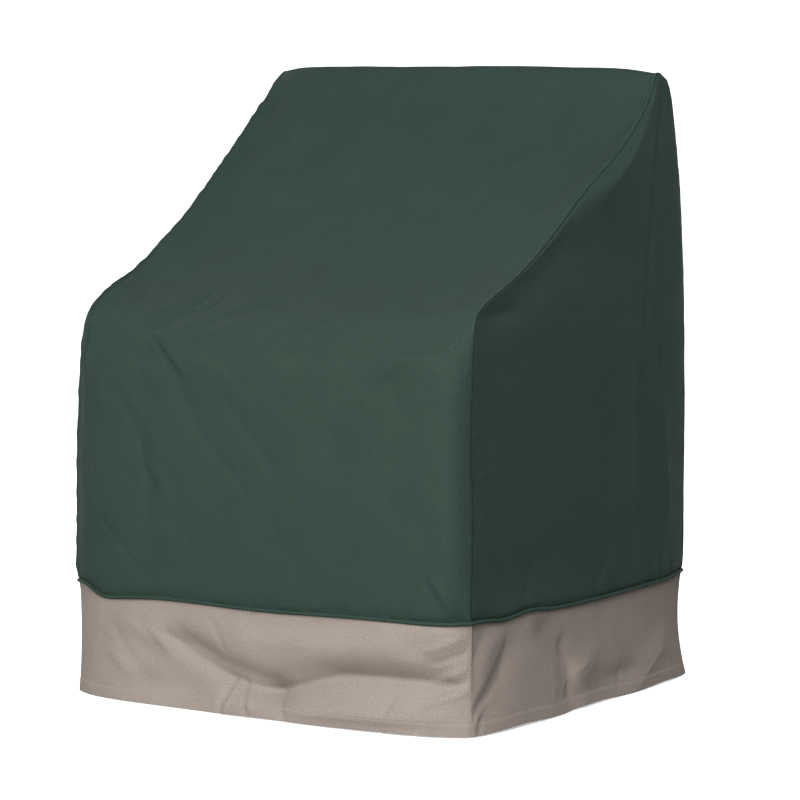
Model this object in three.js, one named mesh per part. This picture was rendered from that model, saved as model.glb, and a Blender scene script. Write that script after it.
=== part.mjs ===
// A fitted cover for a high-backed garden chair, as it hangs in use: a hollow tent of cloth, open underneath. One long
// centre panel runs up the front, over the arms and the seat, up to the top of the back and down behind. Two side panels
// are sewn to it, a skirt of four strips is sewn on below, and a corded piping runs round in that seam. Millimetres, +Z
// up, the front faces -Y, and the origin is on the ground in the middle of the four corner seams.
import * as THREE from 'three';
import { mergeVertices } from 'three/addons/utils/BufferGeometryUtils.js';

// Driving dimensions
const skirtTop = 170; // height of the piped seam
const clothThickness = 2;
const hemThickness = 3; // the skirt's edge, turned up and stitched
const pipingRadius = 3;
const pipingSides = 6;
const pipingGap = 0.5; // between the piping and the cloth it is sewn to
const seamGap = 0.3; // between two pieces that are sewn together
const seamGroove = 2.5; // how deep the piped seam is drawn in
const grooveWidth = 8;
const sideBow = 15; // how far the sides stand out between their seams
const sideRound = 7; // how tightly that bow turns in at the seams
const seamHold = 22; // how far from a seam the folds have died away
const cornerHold = 4; // and the groove of the piped seam, at a corner
const seamRiseFade = 60; // how far above the piped seam its rises and dips are felt
const foldRunOut = 1.5; // how much further a fold fades off its end than to its sides
const cornerRound = 6; // how tightly a hem turns in at its corners

// How finely each sheet is divided
const columnsAcross = 26;
const columnsDeep = 18;
const stepsPerRow = 2;
const skirtRows = 6;

const green = 0x3b4c44;
const taupe = 0x9b9086;

// The centre panel's course, from the front of the skirt to the back of it. y and z are at the side seams and midY and
// midZ at the middle of the width. left and right are how far out the two seams lie. lean is how much higher than that
// the left seam is, and the right one lower. leftRound and rightRound say how tightly the cloth turns in to them.
const course = [
  { y: -335, z: 170, midY: -370, midZ: 168, left: -376, right: 372, lean: 0, leftRound: 8, rightRound: 10 },
  { y: -338, z: 200, midY: -373, midZ: 200, left: -380, right: 373, lean: 0, leftRound: 8, rightRound: 15 },
  { y: -337, z: 290, midY: -376, midZ: 290, left: -379, right: 375, lean: 0, leftRound: 8, rightRound: 22 },
  { y: -336, z: 420, midY: -375, midZ: 415, left: -377, right: 371.5, lean: 0, leftRound: 8, rightRound: 24 },
  { y: -335, z: 530, midY: -371, midZ: 514, left: -371, right: 373.5, lean: -4, leftRound: 8, rightRound: 20 },
  { y: -334, z: 580, midY: -364, midZ: 552, left: -367, right: 375, lean: -10, leftRound: 6, rightRound: 12 },
  { y: -326, z: 608, midY: -345, midZ: 581, left: -367, right: 374, lean: -8, leftRound: 5, rightRound: 7 },
  { y: -308, z: 627, midY: -314, midZ: 602, left: -368, right: 374, lean: -4, leftRound: 4, rightRound: 4 },
  { y: -270, z: 648, midY: -268, midZ: 625, left: -371, right: 374, lean: 0, leftRound: 4, rightRound: 4 },
  { y: -200, z: 679, midY: -194, midZ: 660, left: -373, right: 374, lean: 0, leftRound: 4, rightRound: 4 },
  { y: -120, z: 727, midY: -112, midZ: 710, left: -373, right: 374, lean: 1, leftRound: 4, rightRound: 4 },
  { y: -45, z: 780, midY: -38, midZ: 766, left: -373, right: 374, lean: 3, leftRound: 4, rightRound: 4 },
  { y: 20, z: 829, midY: 26, midZ: 818, left: -373, right: 374, lean: 10, leftRound: 4, rightRound: 4 },
  { y: 78, z: 871, midY: 82, midZ: 866, left: -373, right: 374, lean: 20, leftRound: 4, rightRound: 4 },
  { y: 130, z: 913, midY: 132, midZ: 911, left: -374, right: 374, lean: 27, leftRound: 4, rightRound: 4 },
  { y: 175, z: 951, midY: 172, midZ: 953, left: -375, right: 374, lean: 28, leftRound: 5, rightRound: 4 },
  { y: 205, z: 982, midY: 198, midZ: 987, left: -375, right: 374, lean: 27, leftRound: 8, rightRound: 5 },
  { y: 222, z: 1002, midY: 213, midZ: 1009, left: -375, right: 374, lean: 18, leftRound: 12, rightRound: 5 },
  { y: 236, z: 1012, midY: 230, midZ: 1023, left: -375, right: 374, lean: 14, leftRound: 14, rightRound: 5 },
  { y: 262, z: 1002, midY: 257, midZ: 1018, left: -379, right: 374, lean: 10, leftRound: 12, rightRound: 6 },
  { y: 276, z: 984, midY: 276, midZ: 1000, left: -378, right: 374, lean: 8, leftRound: 10, rightRound: 6 },
  { y: 288, z: 946, midY: 294, midZ: 962, left: -376, right: 374, lean: 6, leftRound: 8, rightRound: 6 },
  { y: 297, z: 895, midY: 308, midZ: 904, left: -375, right: 374, lean: 4, leftRound: 8, rightRound: 6 },
  { y: 316, z: 797, midY: 330, midZ: 801, left: -375, right: 374, lean: 3, leftRound: 8, rightRound: 7 },
  { y: 331, z: 665, midY: 348, midZ: 666, left: -375, right: 374, lean: 0, leftRound: 8, rightRound: 8 },
  { y: 337, z: 480, midY: 357, midZ: 480, left: -376, right: 374, lean: 0, leftRound: 8, rightRound: 8 },
  { y: 337, z: 320, midY: 361, midZ: 320, left: -377, right: 374, lean: 0, leftRound: 8, rightRound: 8 },
  { y: 336, z: 200, midY: 360, midZ: 200, left: -377, right: 374, lean: 0, leftRound: 8, rightRound: 8 },
  { y: 333, z: 170, midY: 356, midZ: 168, left: -374, right: 372, lean: 0, leftRound: 8, rightRound: 8 },
];
const lastRow = course.length - 1;
const ridgeRow = course.findIndex((row) => row.z === Math.max(...course.map((one) => one.z)));

// The corners of the skirt's hem, and how far the cloth above each is drawn in. Then how far each strip's middle stands
// out from the line between its corners, and how far its hem lifts off the ground in between.
const hemCorners = {
  frontLeft: { x: -373, y: -341, z: 0, drawnIn: 3 },
  frontRight: { x: 375, y: -341, z: 2, drawnIn: 3 },
  backRight: { x: 375, y: 346, z: 0, drawnIn: 9 },
  backLeft: { x: -378, y: 345, z: 0, drawnIn: 6 },
};
const frontHem = { out: 46, lift: 0.5 };
const rightHem = { out: 20, lift: 1.5 };
const backHem = { out: 38, lift: 0.5 };
const leftHem = { out: 18, lift: 1.5 };

// Where the piped seam rides up or hangs low, and how far round that place.
const seamRises = [
  { x: -378, y: -336, rise: 8, reach: 50 },
  { x: -338, y: -345, rise: 5, reach: 26 },
  { x: -300, y: -358, rise: -4, reach: 30 },
  { x: -270, y: -365, rise: -5, reach: 60 },
  { x: 20, y: -372, rise: -4, reach: 120 },
  { x: 384, y: -250, rise: -4.5, reach: 42 },
  { x: 387, y: -171, rise: 4, reach: 40 },
  { x: 388, y: -60, rise: -6, reach: 200 },
  { x: 374, y: 335, rise: 6, reach: 60 },
];

// The main folds. Each has a crest along its path, whose points are given across the piece from its middle and up it
// from its lower edge. wide is the width of the crest and high its height, which is below zero for a trough.
const centreFolds = [
  { path: [[-350, 446], [-205, 440]], wide: 22, high: 1.6 },
  { path: [[-208, 446], [-150, 388]], wide: 20, high: -3.2 },
  { path: [[-178, 436], [-116, 402], [-43, 368]], wide: 22, high: 2.2 },
  { path: [[-205, 456], [-156, 530]], wide: 22, high: -1.6 },
  { path: [[-190, 446], [-110, 486], [30, 545]], wide: 22, high: 1.2 },
  { path: [[-130, 454], [12, 522]], wide: 22, high: -1.4 },
  { path: [[-22, 437], [133, 426], [256, 430], [320, 424]], wide: 26, high: -4 },
  { path: [[366, 446], [330, 404], [262, 394]], wide: 22, high: 4 },
  { path: [[-208, 320], [-206, 110]], wide: 30, high: -3 },
  { path: [[-135, 340], [-28, 215]], wide: 26, high: -2 },
  { path: [[-59, 327], [40, 225]], wide: 26, high: -1.6 },
  { path: [[250, 375], [170, 270]], wide: 30, high: -5 },
  { path: [[362, 1100], [333, 968], [305, 800]], wide: 26, high: -4.5 },
  { path: [[-352, 1000], [-336, 860]], wide: 26, high: -4.5 },
  { path: [[-240, 1250], [-270, 1850]], wide: 45, high: -6 },
  { path: [[40, 1300], [20, 1900]], wide: 60, high: 5 },
  { path: [[230, 1250], [265, 1850]], wide: 45, high: -6 },
];
const sideFolds = [
  { path: [[209, 780], [98, 676], [50, 640]], wide: 22, high: 4.5 },
  { path: [[216, 770], [206, 700], [179, 526], [168, 415]], wide: 28, high: -4.5 },
  { path: [[-290, 430], [-179, 478], [-80, 540]], wide: 28, high: -4 },
  { path: [[92, 470], [88, 190], [62, 50]], wide: 24, high: 2.2 },
  { path: [[155, 340], [160, 80]], wide: 28, high: -4 },
  { path: [[236, 270], [250, 120]], wide: 24, high: 2.5 },
  { path: [[-262, 238], [-198, 80]], wide: 28, high: 2 },
];
const frontSkirtFolds = [
  { path: [[-138, 100], [-43, 56], [46, 36]], wide: 22, high: -11 },
  { path: [[60, 38], [155, 70], [325, 75]], wide: 22, high: -10 },
  { path: [[-10, 104], [130, 112], [260, 116]], wide: 26, high: 7 },
  { path: [[-50, 12], [86, 18], [260, 28]], wide: 20, high: 5 },
  { path: [[-200, 80], [-95, 36]], wide: 26, high: -6 },
];
const sideSkirtFolds = [
  { path: [[-312, 46], [-250, 108]], wide: 26, high: -4 },
  { path: [[-324, 90], [-275, 137]], wide: 22, high: 4 },
  { path: [[-128, 125], [-82, 83], [-70, 35]], wide: 24, high: -9 },
  { path: [[-60, 44], [-10, 68]], wide: 22, high: 4 },
  { path: [[40, 22], [120, 30]], wide: 30, high: -5 },
  { path: [[140, 20], [236, 60]], wide: 24, high: 4 },
];
const backSkirtFolds = [
  { path: [[-240, 110], [-40, 50]], wide: 28, high: -10 },
  { path: [[60, 60], [260, 110]], wide: 28, high: -9 },
];

const mix = (from, to, share) => from + (to - from) * share;

// A smooth curve through one column of the course, at a place counted in rows.
function follow(column, place) {
  const row = Math.min(Math.floor(place), lastRow - 1);
  const at = (index) => course[Math.min(Math.max(index, 0), lastRow)][column];
  const share = place - row;
  const [before, start, end, after] = [at(row - 1), at(row), at(row + 1), at(row + 2)];
  const bend = 2 * before - 5 * start + 4 * end - after + share * (3 * (start - end) + after - before);
  return start + 0.5 * share * (end - before + share * bend);
}

// The height of one fold at a place on its piece: full along its path, and fading to each side and off its ends.
function foldHeight(fold, across, up) {
  const nearest = Math.min(
    ...fold.path.slice(1).map((end, index) => {
      const start = fold.path[index];
      const [run, rise] = [end[0] - start[0], end[1] - start[1]];
      const length = Math.hypot(run, rise);
      const along = ((across - start[0]) * run + (up - start[1]) * rise) / length;
      const aside = ((across - start[0]) * rise - (up - start[1]) * run) / length;
      const beyond = Math.max(0, -along, along - length);
      return Math.hypot(aside, beyond / foldRunOut);
    }),
  );
  return fold.high * Math.exp(-((nearest / fold.wide) ** 2));
}
const relief = (folds, across, up) => folds.reduce((sum, fold) => sum + foldHeight(fold, across, up), 0);

// 0 on a seam and 1 well away from it, so that two pieces meet where they are sewn.
const heldAt = (distance, reach) => 1 - Math.exp(-((Math.max(distance, 0) / reach) ** 2));
const groove = (distance) => -seamGroove * Math.exp(-((distance / grooveWidth) ** 2));

// The seam's rises and dips, passed on to the cloth just above it.
function liftedBySeam(point) {
  const fade = Math.exp(-(((point.z - skirtTop) / seamRiseFade) ** 2));
  for (const { x, y, rise, reach } of seamRises) {
    point.z += rise * fade * Math.exp(-((point.x - x) ** 2 + (point.y - y) ** 2) / reach ** 2);
  }
  return point;
}

// The front stations are steps along the course up to the ridge. Each back one is level with a front one, so that a
// side panel's rows run level between the two.
function levelBehind(place) {
  const height = follow('z', place);
  let low = ridgeRow;
  let high = lastRow;
  while (high - low > 1e-9) {
    const middle = (low + high) / 2;
    if (follow('z', middle) > height) low = middle;
    else high = middle;
  }
  return low;
}
const frontStations = Array.from({ length: ridgeRow * stepsPerRow + 1 }, (_, step) => step / stepsPerRow);
const backStations = frontStations.map(levelBehind);
backStations[0] = lastRow;
backStations[backStations.length - 1] = ridgeRow;
const stations = [...frontStations, ...backStations.slice(0, -1).reverse()];

// How much cloth there is from the skirt up to a station, along the middle of the side seams.
const clothUpTo = (() => {
  const steps = 12;
  const lengths = [0];
  for (let step = 1; step <= lastRow * steps; step += 1) {
    const rise = follow('z', step / steps) - follow('z', (step - 1) / steps);
    const run = follow('y', step / steps) - follow('y', (step - 1) / steps);
    lengths.push(lengths[step - 1] + Math.hypot(rise, run));
  }
  return (place) => {
    const step = Math.min(Math.floor(place * steps), lengths.length - 2);
    return mix(lengths[step], lengths[step + 1], place * steps - step);
  };
})();
const panelLength = clothUpTo(lastRow);

const seamPoint = (side, place) =>
  new THREE.Vector3(
    follow(side < 0 ? 'left' : 'right', place),
    follow('y', place),
    follow('z', place) - side * follow('lean', place),
  );

// A place on the centre panel: share runs from -1 at the left seam to 1 at the right one.
function centrePoint(place, share) {
  const inward = 1 - Math.abs(share) ** follow(share < 0 ? 'leftRound' : 'rightRound', place);
  const before = Math.max(place - 0.01, 0);
  const after = Math.min(place + 0.01, lastRow);
  const run = follow('midY', after) - follow('midY', before);
  const rise = follow('midZ', after) - follow('midZ', before);
  const up = clothUpTo(place);
  const toSkirt = Math.min(up, panelLength - up);
  const across = mix(follow('left', place), follow('right', place), (1 + share) / 2);
  const toSeam = Math.min(across - follow('left', place), follow('right', place) - across);
  const hold = heldAt(toSeam, seamHold) * heldAt(toSkirt, seamHold);
  const swell = relief(centreFolds, across, up) * hold + groove(toSkirt) * heldAt(toSeam, cornerHold);
  const out = swell / Math.hypot(run, rise);
  return liftedBySeam(
    new THREE.Vector3(
      across,
      mix(follow('y', place), follow('midY', place), inward) - out * rise,
      mix(follow('z', place), follow('midZ', place), inward) - follow('lean', place) * share + out * run,
    ),
  );
}

// A place on a side panel, 1 being the right one: share runs from 0 at its front seam to 1 at its back one.
function sidePoint(side, frontPlace, backPlace, share) {
  const front = seamPoint(side, frontPlace);
  const back = seamPoint(side, backPlace);
  const span = back.y - front.y;
  const point = front.clone().lerp(back, share);
  const toSeam = Math.min(share, 1 - share) * span;
  const up = point.z - skirtTop;
  const bow = sideBow * Math.min(1, span / 200) * (1 - Math.abs(2 * share - 1) ** sideRound);
  const hold = heldAt(toSeam, seamHold) * heldAt(up, seamHold);
  const out = bow + relief(sideFolds, point.y, up) * hold + groove(up) * heldAt(toSeam, cornerHold);
  return liftedBySeam(point.setX(point.x + side * out));
}

// One strip of the skirt, from the row of points it hangs from down to its hem. out is the way it faces.
function skirtGrid(top, out, hem, start, end, folds) {
  const [hemStart, hemEnd] = [start, end].map(({ x, y, z }) => new THREE.Vector3(x, y, z));
  const [inStart, inEnd] = [start, end].map(({ x, y, drawnIn }) => new THREE.Vector3(-x, -y, 0).setLength(drawnIn));
  const width = hemStart.distanceTo(hemEnd);
  return Array.from({ length: skirtRows + 1 }, (_, row) =>
    top.map((sewn, column) => {
      const share = column / (top.length - 1);
      const edge = hemStart.clone().lerp(hemEnd, share);
      edge.addScaledVector(out, hem.out * (1 - Math.abs(2 * share - 1) ** cornerRound));
      edge.z += hem.lift * (1 - Math.cos(6 * Math.PI * share));
      const point = edge.lerp(sewn, row / skirtRows);
      point.addScaledVector(inStart.clone().lerp(inEnd, share), Math.sin((Math.PI * row) / skirtRows));
      const toCorner = Math.min(share, 1 - share) * width;
      const toSeam = skirtTop - point.z;
      const hold = heldAt(toCorner, seamHold) * heldAt(toSeam, seamHold);
      return point.addScaledVector(out, relief(folds, (share - 0.5) * width, point.z) * hold);
    }),
  );
}

// Each sheet is a grid of points on its outer face: rows go up it, and columns go to the right, looked at from outside.
const crowdToSeams = (share) => 1.3 * share - 0.3 * share ** 3;
const acrossShares = Array.from({ length: columnsAcross + 1 }, (_, column) =>
  crowdToSeams((2 * column) / columnsAcross - 1),
);
const deepShares = Array.from({ length: columnsDeep + 1 }, (_, column) => column / columnsDeep);
const forward = new THREE.Vector3(0, -1, 0);
const backward = new THREE.Vector3(0, 1, 0);
const rightward = new THREE.Vector3(1, 0, 0);
const leftward = new THREE.Vector3(-1, 0, 0);

const centreGrid = stations.map((place) => acrossShares.map((share) => centrePoint(place, share)));
const rightGrid = frontStations.map((place, row) =>
  deepShares.map((share) => sidePoint(1, place, backStations[row], share)),
);
const leftGrid = frontStations.map((place, row) =>
  deepShares.map((share) => sidePoint(-1, place, backStations[row], 1 - share)),
);
const { frontLeft, frontRight, backRight, backLeft } = hemCorners;
const backTop = centreGrid.at(-1).toReversed();
const grids = {
  centre_panel: centreGrid,
  side_panel_right: rightGrid,
  side_panel_left: leftGrid,
  band_front: skirtGrid(centreGrid[0], forward, frontHem, frontLeft, frontRight, frontSkirtFolds),
  band_right: skirtGrid(rightGrid[0], rightward, rightHem, frontRight, backRight, sideSkirtFolds),
  band_back: skirtGrid(backTop, backward, backHem, backRight, backLeft, backSkirtFolds),
  band_left: skirtGrid(leftGrid[0], leftward, leftHem, backLeft, frontLeft, sideSkirtFolds),
};

// The way out of the cloth at every point, shared by the pieces that meet there, so that their edges are mitred.
const keyOf = (point) => point.toArray().map((value) => Math.round(value * 100)).join();
const facings = new Map();
const faceNormal = (a, b, c) => b.clone().sub(a).cross(c.clone().sub(a));
const trianglesOf = (grid) =>
  grid.slice(1).flatMap((upper, row) =>
    upper.slice(1).flatMap((corner, column) => {
      const lower = grid[row];
      return [
        [lower[column], lower[column + 1], corner],
        [lower[column], corner, upper[column]],
      ];
    }),
  );
for (const [name, grid] of Object.entries(grids)) {
  for (const triangle of trianglesOf(grid)) {
    const normal = faceNormal(...triangle);
    for (const point of triangle) {
      const key = keyOf(point);
      if (!facings.has(key)) facings.set(key, new Map());
      const sums = facings.get(key);
      if (!sums.has(name)) sums.set(name, new THREE.Vector3());
      sums.get(name).add(normal);
    }
  }
}

// The step from the outer face in to the inner one, longer where the cloth turns a corner, so that its thickness holds.
function inwardStep(point, thickness) {
  const normals = [...facings.get(keyOf(point)).values()].map((sum) => sum.clone().normalize());
  const mean = normals.reduce((sum, normal) => sum.add(normal), new THREE.Vector3()).normalize();
  const turn = Math.min(...normals.map((normal) => normal.dot(mean)));
  return mean.multiplyScalar(-thickness / Math.max(turn, 0.6));
}

// How far an edge point is drawn back into its own piece, square to the edge, to leave the gap at the seam.
function drawBack(grid, row, column) {
  const lastUp = grid.length - 1;
  const lastAcross = grid[row].length - 1;
  const pick = (up, across) => grid[Math.min(Math.max(up, 0), lastUp)][Math.min(Math.max(across, 0), lastAcross)];
  const along = (from, to) => to.clone().sub(from).normalize();
  const upward = along(pick(row - 1, column), pick(row + 1, column));
  const rightwards = along(pick(row, column - 1), pick(row, column + 1));
  const slant = upward.dot(rightwards);
  const acrossSign = (column === 0 ? 1 : 0) - (column === lastAcross ? 1 : 0);
  const upSign = (row === 0 ? 1 : 0) - (row === lastUp ? 1 : 0);
  const isPoint = pick(row, 0).distanceTo(pick(row, lastAcross)) < seamGap;
  if (isPoint) return new THREE.Vector3(0, 0, -seamGap);
  return new THREE.Vector3()
    .add(rightwards.clone().addScaledVector(upward, -slant).setLength(acrossSign * seamGap * 0.75))
    .add(upward.clone().addScaledVector(rightwards, -slant).setLength(upSign * seamGap * 0.75));
}

// A closed sheet between its outer face and the inner one, with its four edges. A hem's edge is level.
function sheet(name, grid, colour, isBand) {
  const outer = grid.map((points, row) => points.map((point, column) => point.clone().add(drawBack(grid, row, column))));
  const inner = grid.map((points, row) =>
    points.map((point, column) => {
      const step = inwardStep(point, isBand && row < 2 ? hemThickness : clothThickness);
      if (isBand && row === 0) step.z = 0;
      return step.add(outer[row][column]);
    }),
  );
  const wall = (outerLine, innerLine) => trianglesOf([outerLine, innerLine]);
  const column = (faces, index) => faces.map((points) => points.at(index));
  const triangles = [
    ...trianglesOf(outer),
    ...trianglesOf(inner).map(([a, b, c]) => [a, c, b]),
    ...wall(inner[0], outer[0]),
    ...wall(outer.at(-1), inner.at(-1)),
    ...wall(column(outer, 0), column(inner, 0)),
    ...wall(column(inner, -1), column(outer, -1)),
  ].filter((triangle) => faceNormal(...triangle).length() > 1e-6);
  return solid(name, triangles, colour);
}

function solid(name, triangles, colour) {
  const loose = new THREE.BufferGeometry();
  loose.setAttribute(
    'position',
    new THREE.Float32BufferAttribute(triangles.flatMap((triangle) => triangle.flatMap((point) => point.toArray())), 3),
  );
  const geometry = mergeVertices(loose, 1e-3);
  geometry.computeVertexNormals();
  const material = new THREE.MeshStandardMaterial({ color: colour, roughness: 0.85, metalness: 0 });
  const mesh = new THREE.Mesh(geometry, material);
  mesh.name = name;
  return mesh;
}

// The piping: a closed round cord lying in the groove outside the seam between the body and the skirt.
function piping() {
  const ring = [grids.band_front, grids.band_right, grids.band_back, grids.band_left].flatMap((grid) =>
    grid.at(-1).slice(0, -1),
  );
  const sections = ring.map((point, index) => {
    const before = ring.at(index - 1);
    const after = ring[(index + 1) % ring.length];
    const ahead = after.clone().sub(before).normalize();
    const up = new THREE.Vector3(0, 0, 1);
    const out = ahead.clone().cross(up).normalize();
    const turn = Math.max(point.clone().sub(before).normalize().dot(ahead), 0.6);
    const centre = point.clone().addScaledVector(out, (pipingRadius + pipingGap) / turn);
    return Array.from({ length: pipingSides + 1 }, (_, side) => {
      const angle = (2 * Math.PI * (side % pipingSides)) / pipingSides;
      return centre
        .clone()
        .addScaledVector(out, (pipingRadius * Math.cos(angle)) / turn)
        .addScaledVector(up, pipingRadius * Math.sin(angle));
    });
  });
  const closed = [...sections, sections[0]];
  const lines = Array.from({ length: pipingSides + 1 }, (_, side) => closed.map((section) => section[side]));
  return solid('piping', trianglesOf(lines), green);
}

const group = new THREE.Group();
group.name = 'garden_chair_cover';
for (const [name, grid] of Object.entries(grids)) {
  const isBand = name.startsWith('band');
  group.add(sheet(name, grid, isBand ? taupe : green, isBand));
}
group.add(piping());

export default group;
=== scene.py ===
import math

import bmesh
import bpy
import numpy as np
from mathutils import Matrix, Vector, noise


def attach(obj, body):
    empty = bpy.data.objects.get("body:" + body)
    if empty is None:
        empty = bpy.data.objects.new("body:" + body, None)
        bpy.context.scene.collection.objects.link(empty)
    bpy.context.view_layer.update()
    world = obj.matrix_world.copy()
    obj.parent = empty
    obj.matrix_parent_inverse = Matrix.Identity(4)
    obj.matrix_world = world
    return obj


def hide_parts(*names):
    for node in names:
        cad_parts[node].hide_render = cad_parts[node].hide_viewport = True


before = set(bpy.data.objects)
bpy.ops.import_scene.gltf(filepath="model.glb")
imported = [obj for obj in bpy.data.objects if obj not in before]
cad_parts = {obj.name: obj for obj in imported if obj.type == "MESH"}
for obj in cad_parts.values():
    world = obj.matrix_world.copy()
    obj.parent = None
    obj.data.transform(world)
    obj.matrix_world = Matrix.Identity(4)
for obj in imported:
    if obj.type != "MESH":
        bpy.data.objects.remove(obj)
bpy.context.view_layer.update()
mm = 0.001
print("frame loaded")


def toLinear(hexColour):
    parts = [int(hexColour[start:start + 2], 16) / 255 for start in (1, 3, 5)]
    return (*[part / 12.92 if part <= 0.04045 else ((part + 0.055) / 1.055) ** 2.4 for part in parts], 1)


# Camera, in metres, radians and millimetres of lens: turned to the left and tilted down a little
cameraSet = {"place": (2.326, -3.497, 0.729), "turn": 0.58178, "tilt": 0.06262, "lens": 115.27, "sensor": 36}

cameraData = bpy.data.cameras.new("camera")
cameraData.lens = cameraSet["lens"]
cameraData.sensor_width = cameraSet["sensor"]
camera = bpy.data.objects.new("camera", cameraData)
camera.location = cameraSet["place"]
camera.rotation_euler = (math.pi / 2 - cameraSet["tilt"], 0, cameraSet["turn"])
bpy.context.collection.objects.link(camera)
bpy.context.scene.camera = camera
bpy.context.scene.view_settings.view_transform = "Standard"

# Studio: soft boxes set round the cover, each turned to it, in a round white cove. turn is counted from the
# front towards the right side, and rise from the floor
softBoxes = [
    {"name": "key_high", "turn": 30, "rise": 35, "power": 92},
    {"name": "key_low", "turn": 30, "rise": 12, "power": 92},
    {"name": "front_low", "turn": 0, "rise": 12, "power": 90},
    {"name": "left", "turn": -110, "rise": 35, "power": 42},
    {"name": "left_low", "turn": -110, "rise": 12, "power": 50},
    {"name": "right_back", "turn": 150, "rise": 35, "power": 48},
    {"name": "left_back", "turn": -160, "rise": 15, "power": 60},
]
studio = {"boxSize": 2.2, "boxAway": 3.9, "aim": (0, 0, 0.5), "roomColour": "#FFFFFF", "roomStrength": 0.16}

# One more stands behind the cover, above the picture, and lights only the wall
wallLamp = {"place": (-2.1, 3.2, 3), "aim": (-3.4, 5.4, 0.8), "size": 2.4, "power": 62}


def addSoftBox(name, place, aim, size, power):
    lamp = bpy.data.lights.new(name, "AREA")
    lamp.shape = "SQUARE"
    lamp.size = size
    lamp.energy = power
    lampObject = bpy.data.objects.new(name, lamp)
    lampObject.location = place
    lampObject.rotation_euler = (Vector(aim) - Vector(place)).to_track_quat("-Z", "Y").to_euler()
    lampObject.visible_camera = False
    bpy.context.collection.objects.link(lampObject)


for box in softBoxes:
    turn, rise = math.radians(box["turn"]), math.radians(box["rise"])
    away = Vector((math.sin(turn) * math.cos(rise), -math.cos(turn) * math.cos(rise), math.sin(rise)))
    boxPlace = Vector(studio["aim"]) + away * studio["boxAway"]
    addSoftBox(box["name"], boxPlace, studio["aim"], studio["boxSize"], box["power"])
addSoftBox("wall_lamp", wallLamp["place"], wallLamp["aim"], wallLamp["size"], wallLamp["power"])

world = bpy.data.worlds.new("white_room")
world.use_nodes = True
world.node_tree.nodes["Background"].inputs["Color"].default_value = toLinear(studio["roomColour"])
world.node_tree.nodes["Background"].inputs["Strength"].default_value = studio["roomStrength"]
bpy.context.scene.world = world


# Adds one node: its settings, then its inputs, each a value or another node's output
def addNode(tree, kind, settings=None, inputs=None):
    node = tree.nodes.new("ShaderNode" + kind)
    for setting, value in (settings or {}).items():
        setattr(node, setting, value)
    for socket, value in (inputs or {}).items():
        if isinstance(value, bpy.types.NodeSocket):
            tree.links.new(value, node.inputs[socket])
        else:
            node.inputs[socket].default_value = value
    return node


def newMaterial(name):
    material = bpy.data.materials.new(name)
    material.use_nodes = True
    material.node_tree.nodes.clear()
    return material, material.node_tree


# The floor is a round cove, in metres: it runs up into the wall in one curve
cove = {"radius": 6.5, "high": 4, "round": 3, "sides": 96, "roundSteps": 24}

# Floor paint: matt white, lit from within a little so that it stays pale, with the roller's faint mottle
floorPaint = {"deep": "#F2F2F0", "bright": "#FAFAF8", "mottles": 3, "rough": 0.8, "glow": "#FFFFFF",
              "glowStrength": 0.45}


def paintedFloor():
    material, tree = newMaterial("matt floor paint")
    place = addNode(tree, "TexCoord").outputs["Object"]
    mottle = addNode(tree, "TexNoise", None, {
        "Vector": place, "Scale": floorPaint["mottles"], "Detail": 3}).outputs["Fac"]
    colour = addNode(tree, "MixRGB", None, {
        "Fac": mottle, "Color1": toLinear(floorPaint["deep"]),
        "Color2": toLinear(floorPaint["bright"])}).outputs["Color"]
    shader = addNode(tree, "BsdfPrincipled", None, {
        "Base Color": colour, "Roughness": floorPaint["rough"],
        "Emission Color": toLinear(floorPaint["glow"]), "Emission Strength": floorPaint["glowStrength"]})
    addNode(tree, "OutputMaterial", None, {"Surface": shader.outputs["BSDF"]})
    return material


def makeFloor():
    shape = bmesh.new()
    bmesh.ops.create_circle(shape, cap_ends=True, segments=cove["sides"], radius=cove["radius"])
    rim = list(shape.edges)
    raised = bmesh.ops.extrude_edge_only(shape, edges=rim)["geom"]
    top = [part for part in raised if isinstance(part, bmesh.types.BMVert)]
    bmesh.ops.translate(shape, verts=top, vec=(0, 0, cove["high"]))
    bmesh.ops.bevel(shape, geom=rim, offset=cove["round"], offset_type="OFFSET", affect="EDGES",
                    segments=cove["roundSteps"], profile=0.5, material=-1)
    bmesh.ops.recalc_face_normals(shape, faces=shape.faces)
    for face in shape.faces:
        face.smooth = len(face.verts) == 4
    mesh = bpy.data.meshes.new("floor")
    shape.to_mesh(mesh)
    shape.free()
    mesh.materials.append(paintedFloor())
    floor = bpy.data.objects.new("floor", mesh)
    bpy.context.collection.objects.link(floor)
    floor.visible_diffuse = False  # white ground would light the cover from below and flatten its folds


makeFloor()
print("studio made")

# The cover's own shape, in millimetres: the same tables and functions as its solids, but for the front
# right corner, which the finer cloth can round more tightly
skirtTop = 170  # height of the piped seam
seamGroove = {"deep": 2.5, "wide": 8}  # how far that seam is drawn in
seamHold = 22  # how far from a seam the main folds have died away
cornerHold = 4  # and the groove of the piped seam, at a corner
seamRiseFade = 60  # how far above the piped seam its rises and dips are felt
foldRunOut = 1.5  # how much further a fold fades off its end than to its sides
cornerRound = 6  # how tightly a hem turns in at its corners

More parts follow.
